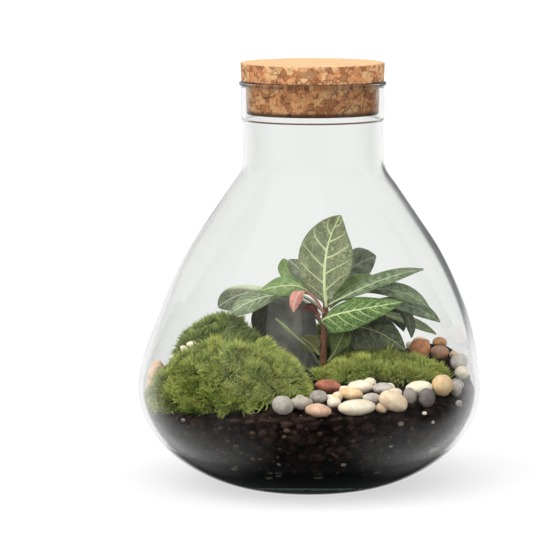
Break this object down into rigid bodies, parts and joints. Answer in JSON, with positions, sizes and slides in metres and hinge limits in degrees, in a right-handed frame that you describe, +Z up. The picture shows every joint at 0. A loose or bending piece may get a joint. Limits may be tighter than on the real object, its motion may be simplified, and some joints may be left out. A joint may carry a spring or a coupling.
{
  "type": "glass plant terrarium",
  "caption": "Closed glass flask with a cork stopper, planted inside with moss cushions, a leafy houseplant, a slate and pebbles on dark soil.",
  "frame": {"origin": "centre of the flat foot ring, on the surface that the flask stands on", "axes": "+Z up through the neck, -Y towards the side that is looked at, +X to that viewer's right"},
  "size_m": [0.25, 0.25, 0.308],
  "materials": {
    "clear_glass": "clear hand-blown glass, faintly grey-green",
    "cork": "pressed cork granules, sanded smooth on top",
    "gravel": "dark wet drainage gravel",
    "soil": "moist dark potting soil, rough",
    "moss": "yellow-green cushion moss, matt",
    "slate": "grey split slate, matt",
    "stem": "red-brown woody stem",
    "leaf_grey_green": "grey-green underside with pale veins, satin",
    "leaf_green": "fresh green with pale veins, satin",
    "leaf_dark_green": "dark green, satin",
    "leaf_olive": "olive green, satin",
    "leaf_pink": "young pink-red leaf, satin",
    "pebble_cream": "cream pebble, smooth",
    "pebble_tan": "tan to peach pebble, smooth",
    "pebble_grey": "grey pebble, smooth",
    "pebble_dark": "dark grey pebble, smooth",
    "pebble_rust": "red-brown pebble, smooth"
  },
  "bodies": {
    "root": {"glass_vessel": "clear_glass", "cork_stopper": "cork", "drainage_gravel": "gravel", "soil": "soil", "slate_stone": "slate", "plant_stem": "stem", "moss_front_left": "moss", "moss_back_left": "moss", "moss_right": "moss", "moss_back": "moss", "leaf_upright": "leaf_grey_green", "leaf_slender_right": "leaf_grey_green", "leaf_grey_right": "leaf_grey_green", "leaf_low_right": "leaf_grey_green", "leaf_striped_left": "leaf_grey_green", "leaf_back_right": "leaf_grey_green", "leaf_bright_back": "leaf_green", "leaf_front_right": "leaf_green", "leaf_arching_left": "leaf_green", "leaf_pointed_left": "leaf_green", "leaf_low_front": "leaf_green", "leaf_back": "leaf_green", "leaf_back_left": "leaf_green", "leaf_round_back": "leaf_dark_green", "leaf_shaded_low": "leaf_dark_green", "leaf_hanging": "leaf_dark_green", "leaf_far_left": "leaf_dark_green", "leaf_grey_behind": "leaf_dark_green", "leaf_pale_tip": "leaf_olive", "leaf_narrow_front": "leaf_olive", "leaf_low_left": "leaf_olive", "leaf_pink_young": "leaf_pink", "leaf_red_underside": "leaf_pink", "pebble_01": "pebble_rust", "pebble_02": "pebble_cream", "pebble_03": "pebble_grey", "pebble_04": "pebble_tan", "pebble_05": "pebble_grey", "pebble_06": "pebble_grey", "pebble_07": "pebble_cream", "pebble_08": "pebble_tan", "pebble_09": "pebble_tan", "pebble_10": "pebble_cream", "pebble_11": "pebble_grey", "pebble_12": "pebble_dark", "pebble_13": "pebble_tan", "pebble_14": "pebble_grey", "pebble_15": "pebble_grey", "pebble_16": "pebble_cream", "pebble_17": "pebble_tan", "pebble_18": "pebble_grey", "pebble_19": "pebble_grey", "pebble_20": "pebble_grey", "pebble_21": "pebble_cream", "pebble_22": "pebble_rust", "pebble_23": "pebble_cream", "pebble_24": "pebble_rust", "pebble_25": "pebble_tan", "pebble_26": "pebble_grey", "pebble_stack_left": "pebble_tan"}
  },
  "joints": []
}
